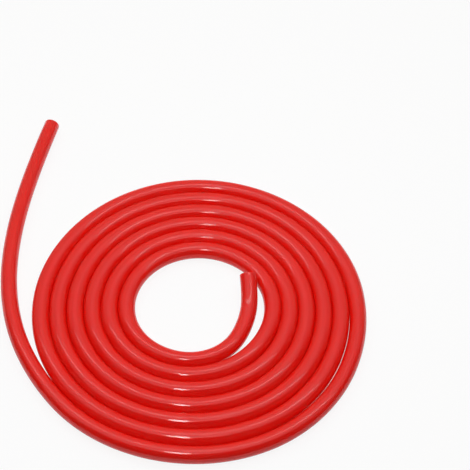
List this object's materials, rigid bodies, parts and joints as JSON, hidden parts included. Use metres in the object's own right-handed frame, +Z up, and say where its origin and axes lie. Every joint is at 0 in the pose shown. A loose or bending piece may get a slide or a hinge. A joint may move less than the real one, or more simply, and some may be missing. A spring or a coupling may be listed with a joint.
{
  "type": "rubber vacuum tubing",
  "caption": "Soft red rubber vacuum tubing with a thick wall and a round bore, wound in a flat one-layer coil with its outer end leading away and its inner end free.",
  "frame": {"origin": "on the bench, under the middle of the outline of the coil with its outer end", "axes": "+Z up from the bench, +Y the way the outer end points, +X to its right seen from above"},
  "size_m": [0.2206, 0.2564, 0.0163],
  "materials": {
    "rubber": "glossy"
  },
  "bodies": {
    "root": {"tubing": "rubber"}
  },
  "joints": []
}
